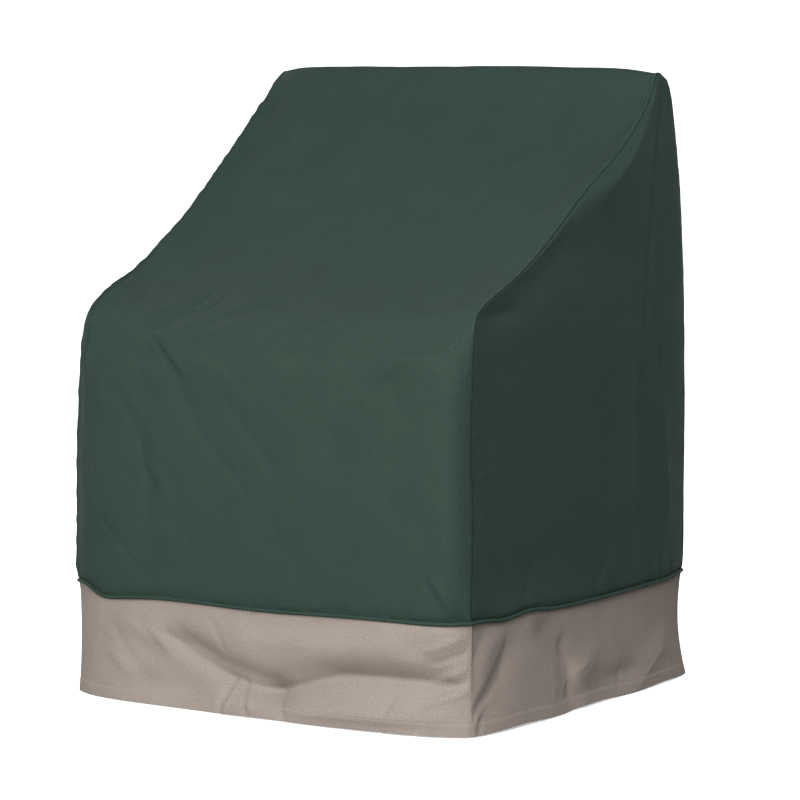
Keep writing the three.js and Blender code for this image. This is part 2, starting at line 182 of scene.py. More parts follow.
# The centre panel's course, from the front of the skirt to the back of it. y and z are at the side seams
# and midY and midZ at the middle of the width. left and right are how far out the two seams lie. lean is
# how much higher than that the left seam is, and the right one lower. leftRound and rightRound say how
# tightly the cloth turns in to them
courseColumns = ("y", "z", "midY", "midZ", "left", "right", "lean", "leftRound", "rightRound")
course = [
    (-335, 170, -370, 168, -376, 372, 0, 8, 18),
    (-338, 200, -373, 200, -380, 373, 0, 8, 28),
    (-337, 290, -376, 290, -379, 375, 0, 8, 42),
    (-336, 420, -375, 415, -377, 371.5, 0, 8, 45),
    (-335, 530, -371, 514, -371, 373.5, -4, 8, 38),
    (-334, 580, -364, 552, -367, 375, -10, 6, 23),
    (-326, 608, -345, 581, -367, 374, -8, 5, 12),
    (-308, 627, -314, 602, -368, 374, -4, 4, 4),
    (-270, 648, -268, 625, -371, 374, 0, 4, 4),
    (-200, 679, -194, 660, -373, 374, 0, 4, 4),
    (-120, 727, -112, 710, -373, 374, 1, 4, 4),
    (-45, 780, -38, 766, -373, 374, 3, 4, 4),
    (20, 829, 26, 818, -373, 374, 10, 4, 4),
    (78, 871, 82, 866, -373, 374, 20, 4, 4),
    (130, 913, 132, 911, -374, 374, 27, 4, 4),
    (175, 951, 172, 953, -375, 374, 28, 5, 4),
    (205, 982, 198, 987, -375, 374, 27, 8, 5),
    (222, 1002, 213, 1009, -375, 374, 18, 12, 5),
    (236, 1012, 230, 1023, -375, 374, 14, 14, 5),
    (262, 1002, 257, 1018, -379, 374, 10, 12, 6),
    (276, 984, 276, 1000, -378, 374, 8, 10, 6),
    (288, 946, 294, 962, -376, 374, 6, 8, 6),
    (297, 895, 308, 904, -375, 374, 4, 8, 6),
    (316, 797, 330, 801, -375, 374, 3, 8, 7),
    (331, 665, 348, 666, -375, 374, 0, 8, 8),
    (337, 480, 357, 480, -376, 374, 0, 8, 8),
    (337, 320, 361, 320, -377, 374, 0, 8, 8),
    (336, 200, 360, 200, -377, 374, 0, 8, 8),
    (333, 170, 356, 168, -374, 372, 0, 8, 8),
]
columnsOf = dict(zip(courseColumns, np.array(course, float).T))
lastRow = len(course) - 1
ridgeRow = int(np.argmax(columnsOf["z"]))

# Where the skirt's corners meet the ground, and how far their seams are drawn in halfway up
hemCorners = {
    "frontLeft": {"place": (-373, -341, 0), "drawnIn": 3},
    "frontRight": {"place": (375, -341, 2), "drawnIn": 3},
    "backRight": {"place": (375, 346, 0), "drawnIn": 9},
    "backLeft": {"place": (-378, 345, 0), "drawnIn": 6},
}
# Rises and dips of the piped seam
seamRises = [
    {"x": -378, "y": -336, "rise": 8, "reach": 50},
    {"x": -338, "y": -345, "rise": 5, "reach": 26},
    {"x": -300, "y": -358, "rise": -4, "reach": 30},
    {"x": -270, "y": -365, "rise": -5, "reach": 60},
    {"x": 20, "y": -372, "rise": -4, "reach": 120},
    {"x": 384, "y": -250, "rise": -4.5, "reach": 42},
    {"x": 387, "y": -171, "rise": 4, "reach": 40},
    {"x": 388, "y": -60, "rise": -6, "reach": 200},
    {"x": 374, "y": 335, "rise": 6, "reach": 60},
]

# Main folds, which the solids have too. Each has a path across and up its piece, its width, and the height
# of its crest, or the depth of its trough where that is negative
centreFolds = [
    ([(-350, 446), (-205, 440)], 22, 1.6),
    ([(-208, 446), (-150, 388)], 20, -3.2),
    ([(-178, 436), (-116, 402), (-43, 368)], 22, 2.2),
    ([(-205, 456), (-156, 530)], 22, -1.6),
    ([(-190, 446), (-110, 486), (30, 545)], 22, 1.2),
    ([(-130, 454), (12, 522)], 22, -1.4),
    ([(-22, 437), (133, 426), (256, 430), (320, 424)], 26, -4),
    ([(366, 446), (330, 404), (262, 394)], 22, 4),
    ([(-208, 320), (-206, 110)], 30, -3),
    ([(-135, 340), (-28, 215)], 26, -2),
    ([(-59, 327), (40, 225)], 26, -1.6),
    ([(250, 375), (170, 270)], 30, -5),
    ([(362, 1100), (333, 968), (305, 800)], 26, -4.5),
    ([(-352, 1000), (-336, 860)], 26, -4.5),
    ([(-240, 1250), (-270, 1850)], 45, -6),
    ([(40, 1300), (20, 1900)], 60, 5),
    ([(230, 1250), (265, 1850)], 45, -6),
]
sideFolds = [
    ([(209, 780), (98, 676), (50, 640)], 22, 4.5),
    ([(216, 770), (206, 700), (179, 526), (168, 415)], 28, -4.5),
    ([(-290, 430), (-179, 478), (-80, 540)], 28, -4),
    ([(92, 470), (88, 190), (62, 50)], 24, 2.2),
    ([(155, 340), (160, 80)], 28, -4),
    ([(236, 270), (250, 120)], 24, 2.5),
    ([(-262, 238), (-198, 80)], 28, 2),
]
frontSkirtFolds = [
    ([(-138, 100), (-43, 56), (46, 36)], 22, -11),
    ([(60, 38), (155, 70), (325, 75)], 22, -10),
    ([(-10, 104), (130, 112), (260, 116)], 26, 7),
    ([(-50, 12), (86, 18), (260, 28)], 20, 5),
    ([(-200, 80), (-95, 36)], 26, -6),
]
sideSkirtFolds = [
    ([(-312, 46), (-250, 108)], 26, -4),
    ([(-324, 90), (-275, 137)], 22, 4),
    ([(-128, 125), (-82, 83), (-70, 35)], 24, -9),
    ([(-60, 44), (-10, 68)], 22, 4),
    ([(40, 22), (120, 30)], 30, -5),
    ([(140, 20), (236, 60)], 24, 4),
]
backSkirtFolds = [
    ([(-240, 110), (-40, 50)], 28, -10),
    ([(60, 60), (260, 110)], 28, -9),
]

# Creases, finer than the solids' folds
centreCreases = [
    ([(-353, 441), (-290, 444), (-254, 442), (-219, 441)], 8, 2.8),
    ([(-206, 443), (-188, 434), (-169, 422), (-150, 403), (-134, 376)], 9, 4.6),
    ([(-219, 438), (-205, 430), (-188, 418)], 7.5, -5.5),
    ([(-215, 434), (-199, 425), (-182, 411), (-168, 393)], 8, -3.2),
    ([(-164, 391), (-146, 362)], 8, -1.2),
    ([(-231, 443), (-236, 456), (-236, 466)], 4.5, -2.2),
    ([(-218, 441), (-198, 462), (-183, 491), (-185, 525), (-183, 552)], 7, -2.8),
    ([(-140, 455), (-92, 489), (-25, 530)], 9, -3),
    ([(-122, 431), (-58, 394), (-17, 354)], 7.5, -2),
    ([(-238, 427), (-217, 359)], 5, -1.2),
    ([(-284, 432), (-260, 396)], 5, -1.2),
    ([(-263, 331), (-230, 275), (-213, 225), (-198, 180)], 9, -2.2),
    ([(-235, 322), (-200, 284), (-186, 246), (-178, 205), (-160, 160)], 12, 2),
    ([(-206, 222), (-189, 198), (-168, 170)], 5, 1.5),
    ([(-338, 350), (-330, 296), (-332, 244), (-335, 200)], 12, -2.8),
    ([(-302, 350), (-294, 296), (-298, 244), (-302, 200)], 14, 1.7),
    ([(-361, 427), (-345, 361)], 7, -2.5),
    ([(-134, 331), (-94, 277)], 7, -1.4),
    ([(-108, 278), (-73, 240), (-40, 206), (-9, 172)], 5.5, -1.4),
    ([(-97, 287), (-62, 249), (-29, 215)], 6, 0.7),
    ([(-49, 322), (-6, 273), (28, 228)], 6, -1.4),
    ([(366, 444), (354, 424), (343, 408), (268, 404)], 7, 3.2),
    ([(357, 450), (345, 428), (334, 412)], 5, -2.8),
    ([(333, 58), (347, 38), (355, 23)], 7, 3.6),
    ([(320, 56), (335, 34), (342, 22)], 6, -2.4),
    ([(-212, 440), (-153, 453), (-116, 474), (-88, 510), (-40, 538)], 8, 2.5),
    ([(-203, 439), (-15, 431), (60, 428), (193, 409), (249, 421), (315, 425)], 14, -2.5),
    ([(40, 433), (77, 450), (99, 468)], 8, -2.5),
    ([(-108, 446), (-53, 470), (6, 482)], 8, 2.2),
    ([(-304, 468), (-266, 480), (-184, 499), (-152, 528)], 7, 2),
    ([(-220, 485), (-154, 499), (-148, 535)], 6, -2.5),
    ([(-292, 505), (-312, 547)], 5, -1),
    ([(-360, 468), (-350, 483)], 7, -2.5),
    ([(-328, 489), (-336, 517)], 5, -2.4),
    ([(-350, 541), (-358, 573)], 5, 1.5),
    ([(-304, 321), (-284, 273)], 4, 0.9),
    ([(-319, 345), (-308, 260)], 6, -1.6),
    ([(182, 363), (155, 331)], 4, -1.1),
    ([(230, 362), (188, 308)], 5, -1.6),
    ([(260, 366), (204, 298), (154, 256)], 17, -2.1),
    ([(264, 393), (222, 340)], 5, -1.2),
    ([(327, 395), (267, 330)], 6.5, -1.4),
    ([(248, 362), (274, 314)], 7, -1.2),
    ([(162, 266), (150, 236)], 5, -0.9),
    ([(-220, 248), (-208, 182), (-198, 118)], 7, -1.4),
    ([(-266, 246), (-272, 111)], 11, 1),
    ([(-295, 113), (-240, 62), (-210, 38)], 6, -1.5),
    ([(-156, 124), (-115, 86)], 6, -1.1),
    ([(-89, 62), (-74, 35)], 6, -1.2),
    ([(-58, 130), (-2, 86)], 7, 1),
    ([(42, 136), (46, 97)], 7, -0.9),
    ([(138, 155), (118, 118)], 7, -0.9),
    ([(350, 352), (352, 48)], 9, 0.9),
    ([(374, 1122), (333, 968), (307, 809)], 12, -2.4),
    ([(374, 1074), (359, 914), (348, 744)], 9, 1.6),
    ([(-319, 1107), (-266, 1039), (-255, 1098)], 5.5, -1.8),
    ([(-341, 1031), (-330, 1055)], 5.5, -1.8),
    ([(-359, 965), (-336, 871)], 8, -2),
    ([(-296, 1013), (-257, 938)], 8, -1.4),
]
rightCreases = [
    ([(-270, 215), (-250, 183), (-226, 145), (-207, 103)], 6.5, 1.7),
    ([(-294, 160), (-311, 143), (-321, 121), (-325, 89)], 5, 1.4),
    ([(-266, 97), (-240, 66), (-219, 43)], 5.5, 1.4),
    ([(-160, 70), (-173, 47), (-183, 28)], 6, -2),
    ([(-330, 271), (-300, 275)], 4, 1.4),
    ([(-330, 262), (-304, 266)], 4, -0.9),
    ([(-326, 209), (-296, 210)], 5, 1),
    ([(-330, 349), (-306, 353)], 4, 1.2),
    ([(-331, 398), (-309, 397)], 4, 1),
    ([(-330, 331), (-298, 326)], 3, -1),
    ([(-331, 214), (-304, 220)], 3.5, -1),
    ([(213, 791), (165, 734), (102, 676), (54, 644)], 6.5, 2.2),
    ([(222, 761), (177, 686)], 6, 1.7),
    ([(242, 794), (213, 703), (186, 526), (175, 415)], 11, -2.9),
    ([(77, 679), (105, 684)], 3, -0.8),
    ([(58, 668), (98, 666)], 3, -0.8),
    ([(-87, 576), (-62, 576)], 3, -1),
    ([(-254, 483), (-173, 522), (-103, 558), (-52, 597)], 6, 1.4),
    ([(-306, 445), (-221, 452)], 11, -2.9),
    ([(102, 479), (86, 305), (92, 190), (64, 36)], 6.5, 1.7),
    ([(240, 262), (253, 132), (232, 33)], 6.5, 1.7),
    ([(-9, 184), (24, 56)], 6, 1.4),
    ([(162, 333), (168, 73)], 11, -2.9),
    ([(-11, 36), (2, 2)], 5, -1.7),
    ([(63, 36), (69, 4)], 5, -1.7),
    ([(218, 36), (229, 0)], 5, -1.7),
    ([(265, 36), (269, 0)], 5, -1.7),
    ([(220, 375), (220, 352)], 8, -2.9),
    ([(-158, 8), (-152, 30)], 6, 1.2),
    ([(1, 11), (8, 44)], 4, 1.8),
    ([(15, 20), (36, 40)], 5, -1.7),
    ([(62, 14), (62, 40)], 3.5, 1.8),
    ([(197, 14), (191, 47)], 5, 1.4),
]
leftCreases = [
    ([(-322, 398), (-300, 384)], 8, -3),
    ([(-318, 352), (-290, 344)], 7, 2),
    ([(-318, 268), (-290, 262)], 9, -1.8),
    ([(-318, 132), (-285, 122)], 9, -2.2),
    ([(-318, 52), (-290, 60)], 8, -1.6),
    ([(230, 780), (150, 700), (40, 600)], 9, 3),
    ([(-290, 430), (-150, 470), (-40, 560)], 10, -2.5),
    ([(60, 420), (30, 60)], 12, 2.5),
    ([(-180, 330), (-210, 30)], 12, -2.5),
    ([(250, 600), (230, 250)], 14, -3),
]
frontSkirtCreases = [
    ([(-165, 108), (-124, 84), (-70, 62), (-8, 46), (40, 40)], 7, -5),
    ([(40, 42), (92, 54), (122, 64), (169, 76), (229, 78), (342, 78)], 8, -5),
    ([(40, 50), (122, 76), (229, 88), (342, 88)], 20, -5),
    ([(-120, 100), (-40, 74), (40, 58)], 16, -4),
    ([(-17, 122), (141, 124), (250, 134)], 14, 3),
    ([(250, 152), (340, 150)], 22, 4.5),
    ([(-12, 22), (164, 24), (328, 26)], 10, 3.4),
    ([(-210, 34), (-130, 26)], 22, -7),
    ([(-230, 118), (-176, 100)], 14, 2.6),
    ([(26, 132), (121, 146)], 8, -2),
    ([(-81, 143), (-52, 99)], 4, -2),
    ([(-3, 157), (-23, 127)], 4, -2),
    ([(-40, 50), (-52, 8)], 5, -5),
    ([(-28, 50), (-42, 8)], 4, 2.6),
    ([(-17, 48), (-3, 12)], 4.5, -4.6),
    ([(-8, 48), (6, 14)], 4, 2.4),
    ([(49, 38), (66, 8)], 4.5, -4),
    ([(259, 50), (240, 5)], 5, -3.3),
    ([(268, 48), (252, 6)], 4, 1.7),
    ([(308, 30), (299, 8)], 4.5, -2.7),
    ([(365, 145), (322, 128)], 6, 2.7),
    ([(368, 124), (330, 110)], 5, -3.2),
    ([(368, 99), (328, 80)], 7, 4.1),
    ([(368, 80), (326, 64)], 5, -3.2),
    ([(368, 66), (322, 52)], 6, 3.4),
    ([(-273, 110), (-233, 65)], 8, -1.8),
    ([(-270, 68), (-224, 35)], 10, 2),
    ([(-224, 127), (-184, 90)], 5, -1.8),
    ([(-305, 152), (-319, 88), (-331, 6)], 2.5, 1.4),
]
sideSkirtCreases = [
    ([(-79, 104), (-74, 87), (-62, 70), (-62, 55), (-71, 36)], 8, -3.6),
    ([(-100, 22), (-20, 20), (30, 30)], 22, -1.8),
    ([(-339, 55), (-299, 92), (-270, 115), (-255, 134)], 7, 1.3),
    ([(-334, 39), (-299, 59), (-275, 78), (-255, 101)], 8, -1.6),
    ([(-334, 114), (-314, 142)], 8, -1.2),
    ([(-265, 79), (-255, 104), (-245, 134)], 4, -1),
    ([(-88, 35), (-54, 56), (-15, 70)], 3.5, 1.3),
    ([(196, 134), (201, 92)], 3.5, -0.8),
    ([(74, 97), (88, 66), (108, 43)], 4, 0.9),
    ([(98, 46), (78, 13)], 4, -1.2),
    ([(147, 10), (186, 33), (240, 56)], 4, 1.3),
    ([(265, 53), (270, 13)], 4, 1.5),
    ([(-329, 8), (-319, 28)], 4, -2.3),
    ([(-339, 19), (-314, 42), (-294, 50)], 4, 1.4),
    ([(-118, 69), (-123, 27)], 3, 1),
    ([(-226, 48), (-216, 21)], 4, 0.9),
    ([(-103, 32), (-93, 16)], 4, -1.2),
    ([(10, 34), (10, 6)], 4, 0.8),
    ([(64, 36), (147, 38)], 9, -1.4),
]
backSkirtCreases = [
    ([(-220, 105), (-60, 56)], 10, -4),
    ([(80, 66), (240, 104)], 10, -4),
]


def mix(start, end, share):
    return start + (end - start) * share


def smoothStep(value):
    value = np.clip(value, 0, 1)
    return value * value * (3 - 2 * value)


# 1 on a line and 0 well away from it
def nearTo(distance, wide):
    return np.exp(-((distance / wide) ** 2))


# A smooth curve through one column of the course, at places counted in rows
def follow(column, place):
    place = np.asarray(place, float)
    row = np.clip(np.floor(place).astype(int), 0, lastRow - 1)
    before, start, end, after = (columnsOf[column][np.clip(row + step, 0, lastRow)] for step in (-1, 0, 1, 2))
    share = place - row
    bend = 2 * before - 5 * start + 4 * end - after + share * (3 * (start - end) + after - before)
    return start + 0.5 * share * (end - before + share * bend)


# The height of one fold at a place on its piece: full along its path, and fading to each side and off its
# ends
def foldHeight(fold, across, up):
    path, wide, high = fold
    nearest = np.full(np.broadcast(across, up).shape, np.inf)
    for start, end in zip(path, path[1:]):
        run, rise = end[0] - start[0], end[1] - start[1]
        length = math.hypot(run, rise)
        along = ((across - start[0]) * run + (up - start[1]) * rise) / length
        aside = ((across - start[0]) * rise - (up - start[1]) * run) / length
        beyond = np.maximum(0, np.maximum(-along, along - length))
        nearest = np.minimum(nearest, np.hypot(aside, beyond / foldRunOut))
    return high * nearTo(nearest, wide)


def relief(folds, across, up):
    return sum(foldHeight(fold, across, up) for fold in folds)


# 0 on a seam and 1 well away from it, so that two pieces meet where they are sewn
def heldAt(distance, reach):
    return 1 - np.exp(-((np.maximum(distance, 0) / reach) ** 2))


# 1 up to an edge and 0 past it, with a short step from one to the other
def upTo(distance, edge, step):
    return 1 - smoothStep((distance - edge + step["before"]) / (step["before"] + step["after"]))


def groove(distance):
    return -seamGroove["deep"] * nearTo(distance, seamGroove["wide"])


# Soft waves of the cloth between its folds: each layer has its length in millimetres and its height
waveLayers = [{"long": 150, "high": 1.6}, {"long": 55, "high": 0.7}, {"long": 22, "high": 0.22}]

# Where each wave or ripple starts in the noise, and how far its left and right sides lie apart in it
noiseStarts = {"centreWaves": 3.3, "sideWaves": 7.7, "centreSeams": 1.5, "frontSeam": 2.5, "backSeam": 6.5,
               "centreBottom": 4.5, "sideBottom": 8.5, "valley": 2.7, "cord": 5}
noiseApart = {"centre": 400, "side": 900}

# Ripples along a seam, where the thread draws the cloth up: their length along it, their height, and how
# far from it they reach
gathers = {
    "sideSeam": {"long": 17, "high": 1.1, "reach": 15},
    "centreBottom": {"long": 14, "high": 2.4, "reach": 17},
    "sideBottom": {"long": 15, "high": 1.8, "reach": 18},
    "skirtTop": {"long": 12, "high": 1.6, "reach": 12},
    "hem": {"long": 9, "high": 0.9, "reach": 9},
}

# How far from a seam or a corner the fine relief has died away
holds = {"centreFine": 7, "sideFine": 5, "sideFineBottom": 6, "skirtFineCorner": 6, "skirtFine": 7,
         "sideRipples": 3, "bottomRipples": 4, "ripplesCorner": 12, "skirtRipplesCorner": 8, "cornerLine": 3}


def waves(across, up, start):
    across, up = np.broadcast_arrays(across, up)
    heights = np.zeros(across.shape)
    for layer in waveLayers:
        places = zip(across.ravel() / layer["long"] + start, up.ravel() / layer["long"])
        wave = np.array([noise.noise((x, y, start)) for x, y in places])
        heights = heights + layer["high"] * wave.reshape(across.shape)
    return heights


def ripples(along, distance, start, gather):
    along, distance = np.broadcast_arrays(along, distance)
    heights = np.array([noise.noise((place / gather["long"], start, 0)) for place in along.ravel()])
    return gather["high"] * heights.reshape(along.shape) * nearTo(distance, gather["reach"])


# The seam's rises and dips, passed on to the cloth just above it
def liftedBySeam(points):
    fade = nearTo(points[..., 2] - skirtTop, seamRiseFade)
    for spot in seamRises:
        away = (points[..., 0] - spot["x"]) ** 2 + (points[..., 1] - spot["y"]) ** 2
        points[..., 2] += spot["rise"] * fade * np.exp(-away / spot["reach"] ** 2)
    return points


# How much cloth there is from the front of the skirt up to a place, measured in short steps along the side
# seams
stepsPerRow = 12
clothSteps = np.linspace(0, lastRow, lastRow * stepsPerRow + 1)
stepLengths = np.hypot(np.diff(follow("z", clothSteps)), np.diff(follow("y", clothSteps)))
clothLengths = np.concatenate([[0], np.cumsum(stepLengths)])
panelLength = clothLengths[-1]


def clothUpTo(place):
    return np.interp(place, clothSteps, clothLengths)


# The place behind the ridge that is level with one in front of it, found by halving
def levelBehind(place):
    height = follow("z", place)
    low, high = np.full(place.shape, float(ridgeRow)), np.full(place.shape, float(lastRow))
    for halving in range(50):
        middle = (low + high) / 2
        above = follow("z", middle) > height
        low, high = np.where(above, middle, low), np.where(above, high, middle)
    return low


def seamPoints(side, place):
    return np.stack([follow("left" if side < 0 else "right", place), follow("y", place),
                     follow("z", place) - side * follow("lean", place)], -1)


# Stops along a length: closely set at both ends, where the seams are, and even between
def crowdedStops(length, step, edge):
    inner = np.linspace(edge[-1], length - edge[-1], max(2, round((length - 2 * edge[-1]) / step)) + 1)
    return np.concatenate([edge[:-1], inner, length - np.array(edge[:-1])[::-1]])


# The side seams: the centre panel's edge is turned under and stitched down in a raised strip over the side
# panel, whose own edge is tucked in below it. edge holds the stops of both panels' columns beside the seam.
# leftPull is how much harder the left seam's thread draws the cloth up
sideSeam = {
    "strip": 4.4, "stripHigh": 1.2, "stripStep": {"before": 0.6, "after": 0.8},
    "stripRoll": {"shift": 0.4, "over": 0.7}, "leftPull": 2, "tucked": 4.4, "tuckWide": 3.2, "narrowSpan": 90,
    "edge": [0, 0.5, 1.2, 2.2, 3.2, 4, 5, 6.5, 8.5, 11, 14, 18, 22.5],
}

# The centre panel. valley is the shallow one beside its seams, with what is left of it above its top
centrePanel = {
    "wide": 748, "step": 5.6, "frontRows": 256, "backEvery": 4, "closeRows": [0, 1.5, 3, 5, 7, 9.5, 12.5],
    "slopeStep": 0.01, "thick": 0.8, "flat": (0.775, 2.045),
    "valley": {"at": 14, "wide": 10, "deep": 1.2, "top": 540, "fade": 90, "above": 0.25, "uneven": 1.3,
               "long": 90},
}


def centrePoints(place, share):
    place, share = place[:, None], share[None, :]
    inward = 1 - np.abs(share) ** np.where(share < 0, follow("leftRound", place), follow("rightRound", place))
    before = np.maximum(place - centrePanel["slopeStep"], 0)
    after = np.minimum(place + centrePanel["slopeStep"], lastRow)
    run, rise = follow("midY", after) - follow("midY", before), follow("midZ", after) - follow("midZ", before)
    up = clothUpTo(place)
    toSkirt = np.minimum(up, panelLength - up)
    left, right = follow("left", place), follow("right", place)
    across = mix(left, right, (1 + share) / 2)
    toSeam = np.minimum(across - left, right - across)
    hold = heldAt(toSeam, seamHold) * heldAt(toSkirt, seamHold)
    swell = relief(centreFolds, across, up) * hold + groove(toSkirt) * heldAt(toSeam, cornerHold)
    fine = relief(centreCreases, across, up) + waves(across, up, noiseStarts["centreWaves"])
    swell = swell + fine * heldAt(toSeam, holds["centreFine"]) * heldAt(toSkirt, holds["centreFine"])

    strip = sideSeam["stripHigh"] * upTo(toSeam, sideSeam["strip"], sideSeam["stripStep"])
    strip = strip * heldAt(toSeam + sideSeam["stripRoll"]["shift"], sideSeam["stripRoll"]["over"])
    dip = centrePanel["valley"]
    start = noiseStarts["valley"]
    uneven = np.array([noise.noise((length / dip["long"], start, 0)) for length in up.ravel()])[:, None]
    valley = -dip["deep"] * nearTo(toSeam - dip["at"], dip["wide"]) * (1 + dip["uneven"] * uneven)
    valley = valley * mix(dip["above"], 1, smoothStep((dip["top"] - toSkirt) / dip["fade"]))
    swell = swell + (strip + valley) * heldAt(toSkirt, holds["bottomRipples"])

    alongSeam = up + noiseApart["centre"] * np.sign(share)
    gathered = ripples(alongSeam, toSeam, noiseStarts["centreSeams"], gathers["sideSeam"])
    gathered = gathered * np.where(share < 0, sideSeam["leftPull"], 1)
    gathered = gathered * heldAt(toSkirt, holds["ripplesCorner"])
    low = ripples(across, toSkirt, noiseStarts["centreBottom"], gathers["centreBottom"])
    low = low * heldAt(toSeam, holds["ripplesCorner"]) * heldAt(toSkirt, holds["bottomRipples"])
    out = (swell + gathered + low) / np.hypot(run, rise)
    points = np.stack([
        across + 0 * up,
        mix(follow("y", place), follow("midY", place), inward) - out * rise,
        mix(follow("z", place), follow("midZ", place), inward) - follow("lean", place) * share + out * run,
    ], -1)
    cloth = np.stack([across + 0 * up, up + 0 * across], -1)
    return liftedBySeam(points), cloth


# The side panels. bow is how far they stand out between their seams: in full where they are deep enough,
# and where they are deeper still it grows slowly from the front. sag is the hollow behind the front seam,
# whose depth is its slope times its reach. It reaches further back low down, and dies away towards its top
sidePanel = {
    "deep": 672, "step": 6.2, "thick": 0.8, "flat": (0.705, 0.885), "area": 0.42,
    "bow": {"out": 15, "round": 7, "fullSpan": 200, "slowShare": 0.75, "slowFrom": 300, "slowOver": 200},
    "sag": {"low": 105, "high": 38, "fadeUp": 330, "slope": 0.1, "back": 500, "skirt": 40, "top": 520,
            "topFade": 160},
}


def sidePoints(side, frontPlace, backPlace, share, creases):
    front, back = seamPoints(side, frontPlace)[:, None, :], seamPoints(side, backPlace)[:, None, :]
    share = share[None, :]
    span = back[..., 1] - front[..., 1]
    points = mix(front, back, share[..., None])
    fromFront, fromBack = share * span, (1 - share) * span
    toSeam = np.minimum(fromFront, fromBack)
    across, up = points[..., 1], points[..., 2] - skirtTop
    narrow = np.minimum(1, span / sideSeam["narrowSpan"])

    bow = sidePanel["bow"]
    bowed = bow["out"] * np.minimum(1, span / bow["fullSpan"]) * (1 - np.abs(2 * share - 1) ** bow["round"])
    slow = smoothStep((span - bow["slowFrom"]) / bow["slowOver"])
    bowed = bowed * mix(1, smoothStep(share / bow["slowShare"]), slow)
    hold = heldAt(toSeam, seamHold) * heldAt(up, seamHold)
    swell = bowed + relief(sideFolds, across, up) * hold + groove(up) * heldAt(toSeam, cornerHold)
    fine = relief(creases, across, up) + waves(across, up, noiseStarts["sideWaves"] + side)
    swell = swell + fine * heldAt(toSeam, holds["sideFine"]) * heldAt(up, holds["sideFineBottom"])

    sag = sidePanel["sag"]
    reach = mix(sag["low"], sag["high"], np.clip(up / sag["fadeUp"], 0, 1))
    sunk = smoothStep(fromFront / reach) * (1 - smoothStep((fromFront - reach) / sag["back"]))
    sunk = sunk * smoothStep((sag["top"] - up) / sag["topFade"]) * narrow * heldAt(up, sag["skirt"])
    swell = swell - sag["slope"] * reach * sunk - sideSeam["tucked"] * nearTo(toSeam, sideSeam["tuckWide"])

    for distance, start in ((fromFront, noiseStarts["frontSeam"]), (fromBack, noiseStarts["backSeam"])):
        gathered = ripples(up + noiseApart["side"] * side, distance, start, gathers["sideSeam"])
        swell = swell + gathered * heldAt(distance, holds["sideRipples"]) * narrow
    low = ripples(across, up, noiseStarts["sideBottom"], gathers["sideBottom"])
    swell = swell + low * heldAt(toSeam, holds["ripplesCorner"]) * heldAt(up, holds["bottomRipples"])
    points[..., 0] = points[..., 0] + side * swell
    cloth = np.stack([across, points[..., 2] - skirtTop], -1)
    return liftedBySeam(points), cloth


# The skirt's strips: the hem is turned up and stitched, and the corners are seamed
skirt = {
    "thick": 0.9, "hemHigh": 19, "hemProud": 0.8, "hemStep": {"before": 0.6, "after": 0.6}, "hemWaves": 3,
    "stitchDeep": 0.7, "stitchUnder": 1, "stitchWide": 1.1, "cornerDeep": 1.6, "cornerWide": 2.2,
    "clear": 0.2, "flatFront": (0.775, 0.2), "flatSide": (0.705, 0.2),
    "rows": [0, 0.8, 2.5, 5, 8, 11, 14, 16, 17.4, 18.4, 19.2, 20, 21, 22.5, 25, 28, 31.5,
             *range(35, 151, 4), 153, 157, 161, 164, 166.5, 168.5, skirtTop],
}

# How far each hem stands out from the line between its corners, and how high its waves lift it
hems = {
    "front": {"out": 46, "lift": 0.5}, "right": {"out": 20, "lift": 1.5},
    "back": {"out": 38, "lift": 0.5}, "left": {"out": 18, "lift": 1.5},
}


# One strip, from the row of points it hangs from down to its hem between two corners. out is the way it faces
def skirtPoints(top, distances, out, hem, start, end, folds, creases, seed):
    hemStart, hemEnd = np.array(start["place"], float), np.array(end["place"], float)
    inStart, inEnd = (
        -np.array([*corner["place"][:2], 0]) / math.hypot(*corner["place"][:2]) * corner["drawnIn"]
        for corner in (start, end))
    width = np.linalg.norm(hemEnd - hemStart)
    share = (distances / distances[-1])[None, :, None]
    rows = (np.array(skirt["rows"], float) / skirtTop)[:, None, None]
    edge = mix(hemStart, hemEnd, share) + out * hem["out"] * (1 - np.abs(2 * share - 1) ** cornerRound)
    edge = edge + np.array([0, 0, 1]) * hem["lift"] * (1 - np.cos(2 * math.pi * skirt["hemWaves"] * share))
    points = mix(edge, top[None], rows) + mix(inStart, inEnd, share) * np.sin(math.pi * rows)
    share, rise = share[..., 0], points[..., 2]
    across = (share - 0.5) * width + 0 * rise
    toCorner, toSeam = np.minimum(share, 1 - share) * width, skirtTop - rise
    swell = relief(folds, across, rise) * heldAt(toCorner, seamHold) * heldAt(toSeam, seamHold)
    fine = relief(creases, across, rise) + waves(across, rise, seed)
    swell = swell + fine * heldAt(toCorner, holds["skirtFineCorner"]) * heldAt(toSeam, holds["skirtFine"])

    pastHem = rows[..., 0] * skirtTop - skirt["hemHigh"]
    swell = swell + skirt["hemProud"] * upTo(pastHem, 0, skirt["hemStep"])
    swell = swell - skirt["stitchDeep"] * nearTo(pastHem + skirt["stitchUnder"], skirt["stitchWide"])
    cornerLine = skirt["cornerDeep"] * nearTo(toCorner, skirt["cornerWide"])
    swell = swell - cornerLine * heldAt(toSeam, holds["cornerLine"])
    high = ripples(across, toSeam, seed + 1, gathers["skirtTop"])
    high = high * heldAt(toSeam, holds["bottomRipples"]) * heldAt(toCorner, holds["skirtRipplesCorner"])
    swell = swell + high + ripples(across, pastHem, seed + 2, gathers["hem"])
    points = points + out * swell[..., None]
    points[..., 2] = np.maximum(points[..., 2], skirt["clear"])
    return points, np.stack([across, rise], -1)


mergeWithin = 0.03  # corners that fall together, as at the side panels' points, become one


